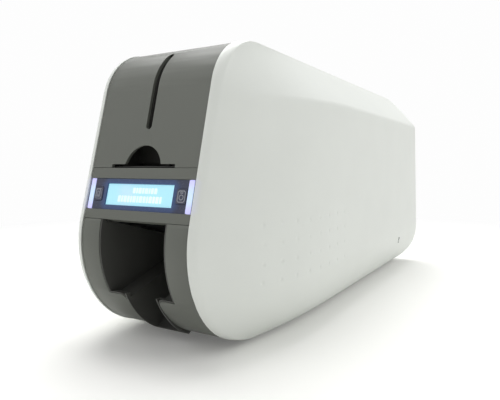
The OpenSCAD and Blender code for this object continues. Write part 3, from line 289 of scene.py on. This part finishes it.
def display_light(name, strength):
    """Back-lit display: pale cyan with a lavender patch left of the middle."""
    m, nt, b = new_mat(name)
    x, v = slope_coords(nt)
    at = node(nt, "ShaderNodeCombineXYZ")
    nt.links.new(x, at.inputs["X"])
    nt.links.new(v, at.inputs["Y"])
    from_patch = node(nt, "ShaderNodeVectorMath", operation="DISTANCE")
    nt.links.new(at.outputs[0], from_patch.inputs[0])
    from_patch.inputs[1].default_value = (-0.011, 0.001, 0.0)
    drift = surface_noise(nt, Scale=60.0, Detail=1.5)
    uneven = math_node(nt, "MULTIPLY_ADD", drift, 0.008, from_patch.outputs["Value"])
    patch_share = map_range(nt, uneven, (0.005, 0.016), (1.0, 0.0), "SMOOTHSTEP")
    color = blend(nt, patch_share, (0.38, 0.78, 0.92), (0.52, 0.73, 0.96))
    nt.links.new(color, b.inputs["Emission Color"])
    b.inputs["Emission Strength"].default_value = strength
    b.inputs["Base Color"].default_value = (0.30, 0.50, 0.58, 1)
    b.inputs["Roughness"].default_value = 0.2
    return m


def spill(m, half_x, half_v, fade, rest, color):
    """Light of the lit pieces on a surface round them: past half_x and half_v it fades to its rest."""
    nt = m.node_tree
    b = nt.nodes["Principled BSDF"]
    x, v = slope_coords(nt)
    far = math_node(nt, "ADD", beyond(nt, x, half_x), beyond(nt, v, half_v))
    b.inputs["Emission Color"].default_value = (*color, 1)
    nt.links.new(map_range(nt, far, (0.0, fade), (1.0, rest), "SMOOTHSTEP"), b.inputs["Emission Strength"])


M = {
    "white": plastic("shell_white", (0.765, 0.790, 0.752), rough=0.42, grain=2200.0, bump=0.035,
                     vary=0.012, spec=0.38),
    "grey": plastic("band_grey", (0.120, 0.127, 0.110), rough=0.50, grain=2400.0, bump=0.05, vary=0.02),
    "black": plastic("black_moulding", (0.068, 0.069, 0.063), rough=0.5, grain=2000.0, bump=0.08,
                     vary=0.05, spec=0.4),
    "blue_case": plastic("cartridge_blue", (0.045, 0.085, 0.26), rough=0.38, vary=0.04),
    "panel": plastic("panel_navy", (0.022, 0.026, 0.060), rough=0.25, grain=900.0, bump=0.01,
                     vary=0.04, coat=0.08),
    "button": plastic("button_navy", (0.034, 0.038, 0.075), rough=0.3, grain=1500.0, bump=0.03, vary=0.04),
    "lcd": display_light("lcd_cyan", 0.62),
    "lcd_mark": glow("lcd_block", (0.5, 0.6, 0.62), (0.74, 0.96, 0.98), 0.62, spread=0.10),
    "light": bar_light("light_guide"),
    "sign": plastic("sign_grey", (0.29, 0.30, 0.34), rough=0.4, grain=1500.0, bump=0.02, vary=0.05),
    # Side slots: near black, painted shade in place of the depth of a real slot
    "painted_slot_shade": plastic("painted_slot_shade", (0.05, 0.05, 0.05), rough=0.5, grain=1500.0, bump=0.05, vary=0.06),
    "board": plastic("board_green", (0.012, 0.12, 0.05), rough=0.3, grain=500.0, bump=0.05,
                     vary=0.15, coat=0.3),
    "steel": metal("sheet_steel", (0.58, 0.59, 0.60), rough=0.32, streak=(500.0, 30.0, 500.0)),
    "shaft": metal("shaft_steel", (0.62, 0.62, 0.62), rough=0.2, streak=(20.0, 1200.0, 1200.0)),
    "alu": metal("head_aluminium", (0.66, 0.67, 0.68), rough=0.35, streak=(60.0, 700.0, 700.0)),
    "port": metal("port_tin", (0.55, 0.55, 0.54), rough=0.28, streak=(300.0, 300.0, 300.0)),
    "rubber": plastic("foot_rubber", (0.02, 0.02, 0.02), rough=0.8, grain=1500.0, bump=0.2,
                      vary=0.1, spec=0.3),
    "roller": plastic("roller_rubber", (0.022, 0.022, 0.024), rough=0.62, grain=1800.0, bump=0.12,
                      vary=0.08, spec=0.35),
    "cleaner": plastic("cleaner_blue", (0.05, 0.19, 0.42), rough=0.25, grain=800.0, bump=0.05, vary=0.06),
    "motor": plastic("motor_black", (0.02, 0.02, 0.022), rough=0.35, grain=700.0, bump=0.1,
                     vary=0.1, spec=0.6),
    "gear": plastic("gear_acetal", (0.72, 0.70, 0.62), rough=0.4, grain=1200.0, bump=0.05, vary=0.03),
    "film": plastic("ribbon_film", (0.20, 0.02, 0.05), rough=0.15, grain=400.0, bump=0.02, vary=0.2),
}

# Light of the display on the panel round it, and light of the bars on the edges of the shells
spill(M["panel"], half_x=LCD_W / 2 * MM, half_v=LCD_H / 2 * MM, fade=0.0075, rest=0.08,
      color=(0.004, 0.030, 0.100))
spill(M["white"], half_x=0.049, half_v=0.0095, fade=0.004, rest=0.0, color=(0.0, 0.0, 0.07))

SLOT_MAT = {
    "white_shell": "white", "grey_band": "grey", "black_plastic": "black", "cartridge_blue": "blue_case",
    "blue_panel": "panel", "display": "lcd", "light_guide": "light", "circuit_board": "board",
    "steel": "steel", "rubber": "rubber", "roller_rubber": "roller", "cleaning_blue": "cleaner",
    "motor_steel": "motor", "gear_white": "gear", "head_metal": "alu", "ribbon_film": "film",
}

# Nodes whose finish differs from that of their slot
NODE_MAT = {
    "left_button": "button", "right_button": "button", "usb_port": "port", "network_port": "port",
    "hopper_hinge_pin": "shaft", "cover_hinge_pin": "shaft", "frame_tie_rods": "shaft",
    "feed_shaft": "shaft", "entry_shaft": "shaft", "platen_shaft": "shaft", "exit_shaft": "shaft",
}
slot_of = {s["node"]: s["material_slot"] for s in frame["record"]["subparts"]}

# Edge radii of the mouldings, in millimetres
SOFT = {
    "hopper_cover": 0.4, "top_cover": 0.4, "rear_cover": 0.4, "front_bezel": 0.5, "output_bin": 0.3,
    "control_panel": 0.35, "base_pan": 0.4, "card_cassette": 0.3, "card_weight": 0.3, "power_switch": 0.3,
    "left_light_bar": 0.25, "right_light_bar": 0.25, "left_button": 0.15, "right_button": 0.15,
    "rubber_feet": 0.5, "ribbon_cartridge": 0.3, "drive_motor": 0.4, "flipper_motor": 0.4,
    "flipper_frame": 0.3, "usb_port": 0.2, "network_port": 0.2, "dc_inlet": 0.2, "print_head": 0.3,
    "feed_roller": 0.4, "entry_roller": 0.4, "exit_roller": 0.4, "platen_roller": 0.4,
    "cleaning_roller": 0.3, "pinch_roller": 0.3,
}
SOFT_ANGLE = math.radians(35.0)


def dress(obj, key):
    obj.data.materials.clear()
    obj.data.materials.append(M[key])


def soften(obj, width):
    """Small moulded radii on the edges of a CAD node."""
    w = obj.modifiers.new("weld", "WELD")
    w.merge_threshold = 0.000004
    b = obj.modifiers.new("edges", "BEVEL")
    b.width = width * MM
    b.segments = 2
    b.limit_method = "ANGLE"
    b.angle_limit = SOFT_ANGLE
    b.harden_normals = True
    b.use_clamp_overlap = True


def link(obj):
    bpy.context.scene.collection.objects.link(obj)
    return obj


def mesh_obj(name, verts, faces, key=None, smooth=True):
    me = bpy.data.meshes.new(name)
    me.from_pydata([tuple(v) for v in verts], [], faces)
    me.validate()
    me.update()
    if smooth:
        me.shade_smooth()
    o = link(bpy.data.objects.new(name, me))
    if key:
        me.materials.append(M[key])
    return o


for name, obj in NODES.items():
    dress(obj, NODE_MAT.get(name, SLOT_MAT[slot_of[name]]))
    if name in SOFT:
        soften(obj, SOFT[name])

# Side shells: the CAD surface sampled finely, with the rounded rim, the soft crease and the dimples
CREASE_SOFT = 0.06
RIM_CURVE = ((RIM_W, RIM_D), (4.2, 0.34), (0.0, 0.0))
RIM_STEPS = 8
SKIN_SLANT = 1.15
SHARP_ANGLE = math.radians(38)
DIMPLE_R, DIMPLE_DEPTH, DIMPLE_PITCH = 2.3, 0.6, 17.6
DIMPLE_START, DIMPLES_PER_ROW = 48.0, 8
DIMPLE_ROWS = (51.9, 65.1, 78.5, 91.5)
DIMPLES = [(DIMPLE_START + DIMPLE_PITCH * k, z) for z in DIMPLE_ROWS for k in range(DIMPLES_PER_ROW)]
# All dimples lie between these heights and before this distance
DIMPLES_LOW, DIMPLES_HIGH, DIMPLES_END = 40, 100, 180


def height_share(z):
    """Share of the swell at height z: rolled in at the belly, drafted up to the crease, then sloping in."""
    if z < BELLY_Z:
        return 1 - BELLY_W / SWELL * (1 - math.sqrt(1 - ((BELLY_Z - z) / (BELLY_Z + BELLY_DROP)) ** 2))
    upper = (1 - DRAFT / SWELL) * (BODY_H - z) / (BODY_H - CREASE_Z)
    lower = 1 - DRAFT / SWELL * (z - BELLY_Z) / (CREASE_Z - BELLY_Z)
    near = max(CREASE_SOFT - abs(upper - lower), 0.0) / CREASE_SOFT
    return min(upper, lower) - near * near * CREASE_SOFT / 4


def near_crease(z):
    """1 at the crease, falling to 0 at the roof and at the belly."""
    if z > CREASE_Z:
        return (BODY_H - z) / (BODY_H - CREASE_Z)
    return max(0.0, (z - BELLY_Z) / (CREASE_Z - BELLY_Z))


def steps(stops):
    """Values from (start, count) pairs: count even steps from each start to the next."""
    out = []
    for (a, n), (b, _) in zip(stops, stops[1:]):
        out += [a + (b - a) * k / n for k in range(n)]
    return out + [stops[-1][0]]


def quarter_steps(count, used):
    """The first angles out of a right angle cut into count even steps."""
    return [k * math.pi / 2 / count for k in range(used)]


# Rows of the grid by height: close together along the dimples, round the crease and at the roof
ROWS = [FOOT_H + (BELLY_Z - FOOT_H) * (1 - math.cos(a)) for a in quarter_steps(14, 13)]
ROWS += steps([(49.0, 64), (94.5, 14), (177.0, 12), (189.0, 10), (216.0, 5), (BODY_H, 0)])

# Columns: mm behind the rim up to DENSE_END, then shares of the middle stretch and of the rear edge
DENSE_END = 176.0
MIDDLE_STEPS, EDGE_STEPS = 16, 8
COLS = [("front", o) for o in steps([(0.0, 8), (6.0, 14), (36.0, 190), (171.0, 2), (DENSE_END, 0)])]
COLS += [("middle", k / MIDDLE_STEPS) for k in range(1, MIDDLE_STEPS)]
COLS += [("rear", 1 - math.sin(a)) for a in quarter_steps(EDGE_STEPS, EDGE_STEPS + 1)]


def shell_yz(col, r, i, shift):
    """The place of a grid point seen from the side, and its share of the flare."""
    kind, q = col
    t = min(1.0, q / FLARE_L) if kind == "front" else 1.0
    z = r - CREASE_DROP * (1 - t) * near_crease(r)
    z = FOOT_H + i + (z - FOOT_H) * (BODY_H - FOOT_H - 2 * i) / (BODY_H - FOOT_H)
    if kind == "front":
        return front_y(z, i) + shift + q, z, t
    if kind == "rear":
        return rear_y(z, i) - EDGE_R * q, z, t
    a, b = front_y(z, i) + shift + DENSE_END, rear_y(z, i) - EDGE_R
    return a + (b - a) * q, z, t


def dimple_depth(y, z):
    """How deep the dimples cut in at a place on the side."""
    depth = 0.0
    if DIMPLES_LOW < z < DIMPLES_HIGH and y < DIMPLES_END:
        for dy, dz in DIMPLES:
            q = math.hypot(y - dy, z - dz) / DIMPLE_R
            if q < 1:
                depth += DIMPLE_DEPTH * (0.5 + 0.5 * math.cos(math.pi * q))
    return depth


def shell_point(col, r, i, dented):
    """A point of the shell's outside, or of its inside where i is the wall."""
    y, z, t = shell_yz(col, r, i, RIM_D)
    edge = 1 - math.sqrt(1 - (1 - col[1]) ** 2) if col[0] == "rear" else 0.0
    flare = 1 - (1 - t) ** 3
    x = SHELL_X + RIM_W + flare * height_share(r) * (SWELL - EDGE_R * edge) - SKIN_SLANT * i
    if dented:
        x -= dimple_depth(y, z)
    return x, y, z


def side_shell(name, side):
    """One side shell as a closed mesh: its outside, its inside, and the rim and seam face between them."""
    n, m = len(ROWS), len(COLS)
    edge = [(0, j) for j in range(n)] + [(c, n - 1) for c in range(1, m)]
    edge += [(m - 1, j) for j in range(n - 2, -1, -1)] + [(c, 0) for c in range(m - 2, 0, -1)]
    pts = [shell_point(COLS[c], r, 0.0, True) for c in range(m) for r in ROWS]
    pts += [shell_point(COLS[c], r, WALL, False) for c in range(m) for r in ROWS]
    loops = [[c * n + j for c, j in edge]]

    def ring(x, i, shift):
        start = len(pts)
        for c, j in edge:
            y, z, _ = shell_yz(COLS[c], ROWS[j], i, shift)
            pts.append((x, y, z))
        loops.append(list(range(start, len(pts))))

    for k in range(1, RIM_STEPS + 1):
        u = k / RIM_STEPS
        weights = ((1 - u) ** 2, 2 * u * (1 - u), u * u)
        out, back = (sum(w * p[axis] for w, p in zip(weights, RIM_CURVE)) for axis in (0, 1))
        ring(SHELL_X + out, 0.0, back)
    ring(SHELL_X, WALL, 0.0)
    loops.append([m * n + c * n + j for c, j in edge])
    faces = []
    for c in range(m - 1):
        for j in range(n - 1):
            q = [c * n + j, (c + 1) * n + j, (c + 1) * n + j + 1, c * n + j + 1]
            faces.append(q)
            faces.append([m * n + v for v in reversed(q)])
    for a, b in zip(loops, loops[1:]):
        for k in range(len(edge)):
            k2 = (k + 1) % len(edge)
            faces.append([a[k], a[k2], b[k2], b[k]])
    if side < 0:
        faces = [list(reversed(f)) for f in faces]
    o = mesh_obj(name, [P(side * x, y, z) for x, y, z in pts], faces, "white")
    bm = bmesh.new()
    bm.from_mesh(o.data)
    for e in bm.edges:
        if len(e.link_faces) == 2 and e.calc_face_angle(0.0) > SHARP_ANGLE:
            e.smooth = False
    bm.to_mesh(o.data)
    bm.free()
    return o


for side, name in SIDES:
    shell = side_shell(name + "_shell_skin", side)
    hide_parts(name + "_side_shell")
    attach(shell, "housing")

# Small raised pieces, built as rings of points round a loop
MARK_RISE = 0.05
PAD_CHAMFER = 0.03


def rounded_loop(w, h, r, steps_per_corner=5):
    """Closed way round a rounded rectangle, as points and outward directions."""
    out = []
    for corner, (sx, sy) in enumerate(((1, 1), (-1, 1), (-1, -1), (1, -1))):
        cx, cy = sx * (w / 2 - r), sy * (h / 2 - r)
        for k in range(steps_per_corner + 1):
            a = math.radians(90 * corner + 90 * k / steps_per_corner)
            out.append(((cx + r * math.cos(a), cy + r * math.sin(a)), (math.cos(a), math.sin(a))))
    return out


def add_rings(verts, faces, loop, place, profile, at=(0, 0), cap=True):
    """Rings along the loop, one for each (offset, height) of the profile. The cap closes the last one."""
    n, start = len(loop), len(verts)
    for off, h in profile:
        for (x, y), (nx, ny) in loop:
            verts.append(place(at[0] + x + nx * off, at[1] + y + ny * off, h))
    for k in range(len(profile) - 1):
        low, high = start + k * n, start + (k + 1) * n
        for j in range(n):
            j2 = (j + 1) % n
            faces.append((low + j, low + j2, high + j2, high + j))
    if cap:
        faces.append(tuple(range(len(verts) - n, len(verts))))


def add_line(verts, faces, loop, width, level, at):
    """A raised closed line on the panel, with a flat top and two flanks."""
    base, top = level - MARK_RISE, level + MARK_RISE
    profile = ((width / 2, base), (width / 2, top), (-width / 2, top), (-width / 2, base))
    add_rings(verts, faces, loop, on_panel, profile, at, cap=False)


def add_pad(verts, faces, loop, level, at):
    """A raised solid patch on the panel, with a small chamfer round its top."""
    base, top = level - MARK_RISE, level + MARK_RISE
    profile = ((0.0, base), (0.0, top - PAD_CHAMFER), (-PAD_CHAMFER, top))
    add_rings(verts, faces, loop, on_panel, profile, at)


# Generic signs on the two buttons: a pair of cards, and a ring in a frame
BUTTON_TOP = -0.9
v, f = [], []
add_line(v, f, rounded_loop(3.6, 5.2, 0.5), 0.55, BUTTON_TOP, (-BUTTON_X - 0.5, 0.5))
add_line(v, f, rounded_loop(1.5, 3.0, 0.4), 0.45, BUTTON_TOP, (-BUTTON_X - 0.4, 0.1))
add_line(v, f, rounded_loop(5.4, 7.0, 0.8), 0.35, BUTTON_TOP, (-BUTTON_X, 0))
sign = mesh_obj("left_button_sign", v, f, "sign", smooth=False)
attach(sign, "left_button")
v, f = [], []
add_line(v, f, rounded_loop(5.8, 7.4, 1.4), 0.6, BUTTON_TOP, (BUTTON_X, 0))
add_line(v, f, rounded_loop(3.2, 3.2, 1.59, 7), 0.6, BUTTON_TOP, (BUTTON_X, -0.6))
add_line(v, f, rounded_loop(2.0, 0.9, 0.4), 0.4, BUTTON_TOP, (BUTTON_X, 2.5))
sign = mesh_obj("right_button_sign", v, f, "sign", smooth=False)
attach(sign, "right_button")

# Generic bright blocks on the display in place of its lettering
LCD_TOP = -2.2
BLOCK_R, BLOCK_CORNER_STEPS = 0.6, 3
# Each row: left end, height above the middle, height of a block, gap between blocks, widths
BLOCK_ROWS = (
    (-6.0, 3.1, 4.0, 0.45, (2.4, 1.7, 2.8, 2.0, 3.0, 1.6, 2.4, 2.6)),
    (-19.0, -2.9, 4.6, 0.5, (2.6, 1.9, 2.8, 2.2, 1.8, 3.0, 1.7, 3.1, 2.4, 1.8, 2.8, 2.2, 2.7, 2.0)),
)
v, f = [], []
for x, row_v, tall, gap, widths in BLOCK_ROWS:
    for w in widths:
        add_pad(v, f, rounded_loop(w, tall, BLOCK_R, BLOCK_CORNER_STEPS), LCD_TOP, (x + w / 2, row_v))
        x += w + gap
marks = mesh_obj("display_blocks", v, f, "lcd_mark", smooth=False)
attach(marks, "housing")

# Small slot low on each side shell: a shallow dish that follows the surface, with painted shade for its
# depth
DISH_Y, DISH_Z = 365.0, 41.0
DISH_PROFILE = ((0.5, -0.1), (0.35, 0.12), (0.0, 0.12), (-0.1, -0.25), (-0.2, -0.3))


def on_side(side):
    """Places on one side shell: a along the body and b up from the dish's middle, h outwards."""
    def place(a, b, h):
        y, z = DISH_Y + a, DISH_Z + b
        return P(side * (SHELL_X + RIM_W + height_share(z) * SWELL + h), y, z)
    return place


for side, name in SIDES:
    v, f = [], []
    add_rings(v, f, rounded_loop(2.2, 6.4, 1.05, 6), on_side(side), DISH_PROFILE)
    if side < 0:
        f = [q[::-1] for q in f]
    dish = mesh_obj(name + "_side_slot", v, f, "painted_slot_shade", smooth=False)
    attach(dish, "housing")

# Stage
BACK = 0.985
AMBIENT = 0.465
FLOOR_HALF = 6.0
# The floor turns into the backdrop between these distances from the middle, in metres
FADE_START, FADE_END = 0.36, 0.80


def sees_backdrop(nt):
    """1 for camera, glossy and transmission rays, which see the backdrop, and 0 for all other rays."""
    lp = node(nt, "ShaderNodeLightPath").outputs
    rays = math_node(nt, "MAXIMUM", lp["Is Camera Ray"], lp["Is Glossy Ray"])
    return math_node(nt, "MAXIMUM", rays, lp["Is Transmission Ray"])


def stage_mat():
    """White floor with a faint light of its own, which fades into the backdrop."""
    m, nt, b = new_mat("floor_white")
    b.inputs["Base Color"].default_value = (0.92, 0.92, 0.895, 1)
    b.inputs["Roughness"].default_value = 0.75
    b.inputs["Specular IOR Level"].default_value = 0.2
    rays = sees_backdrop(nt)
    lift = node(nt, "ShaderNodeEmission", Color=(1.0, 1.0, 0.98, 1))
    nt.links.new(math_node(nt, "MULTIPLY", rays, 0.11), lift.inputs["Strength"])
    lifted = node(nt, "ShaderNodeAddShader")
    nt.links.new(b.outputs[0], lifted.inputs[0])
    nt.links.new(lift.outputs[0], lifted.inputs[1])
    geo = node(nt, "ShaderNodeNewGeometry")
    far = node(nt, "ShaderNodeVectorMath", operation="LENGTH")
    nt.links.new(geo.outputs["Position"], far.inputs[0])
    fade = map_range(nt, far.outputs["Value"], (FADE_START, FADE_END), (0.0, 1.0), "SMOOTHSTEP")
    backdrop = node(nt, "ShaderNodeEmission", Color=(1.0, 1.0, 1.0, 1), Strength=BACK)
    last = node(nt, "ShaderNodeMixShader")
    nt.links.new(math_node(nt, "MULTIPLY", fade, rays), last.inputs[0])
    nt.links.new(lifted.outputs[0], last.inputs[1])
    nt.links.new(backdrop.outputs[0], last.inputs[2])
    nt.links.new(last.outputs[0], nt.nodes["Material Output"].inputs[0])
    return m


floor_corners = [(x * FLOOR_HALF, y * FLOOR_HALF, 0) for x, y in ((-1, -1), (1, -1), (1, 1), (-1, 1))]
floor = mesh_obj("floor", floor_corners, [(0, 1, 2, 3)], smooth=False)
floor.data.materials.append(stage_mat())

world = bpy.data.worlds.new("studio")
bpy.context.scene.world = world
world.use_nodes = True
wn = world.node_tree
wn.nodes.clear()
w_out = node(wn, "ShaderNodeOutputWorld")
w_light = node(wn, "ShaderNodeBackground", Color=(1.0, 1.0, 1.0, 1), Strength=AMBIENT)
w_back = node(wn, "ShaderNodeBackground", Color=(1.0, 1.0, 1.0, 1), Strength=BACK)
w_mix = node(wn, "ShaderNodeMixShader")
wn.links.new(sees_backdrop(wn), w_mix.inputs[0])
wn.links.new(w_light.outputs[0], w_mix.inputs[1])
wn.links.new(w_back.outputs[0], w_mix.inputs[2])
wn.links.new(w_mix.outputs[0], w_out.inputs[0])


def area(name, place, target, size, power):
    """Square area light with its size in metres and its power in watts, turned towards the target."""
    ld = bpy.data.lights.new(name, "AREA")
    ld.shape = "RECTANGLE"
    ld.size, ld.size_y = size, size
    ld.energy = power
    o = link(bpy.data.objects.new(name, ld))
    o.location = place
    o.rotation_euler = (Vector(target) - Vector(place)).to_track_quat("-Z", "Y").to_euler()


area("top_light", (-0.3, 0.3, 1.5), (0, 0, 0.1), size=1.3, power=20.5)
area("right_light", (1.6, 0.6, 1.0), (0, 0.05, 0.1), size=1.2, power=6.0)
area("left_front_light", (-0.6, -1.25, 1.35), (0, 0, 0.1), size=1.2, power=3.7)
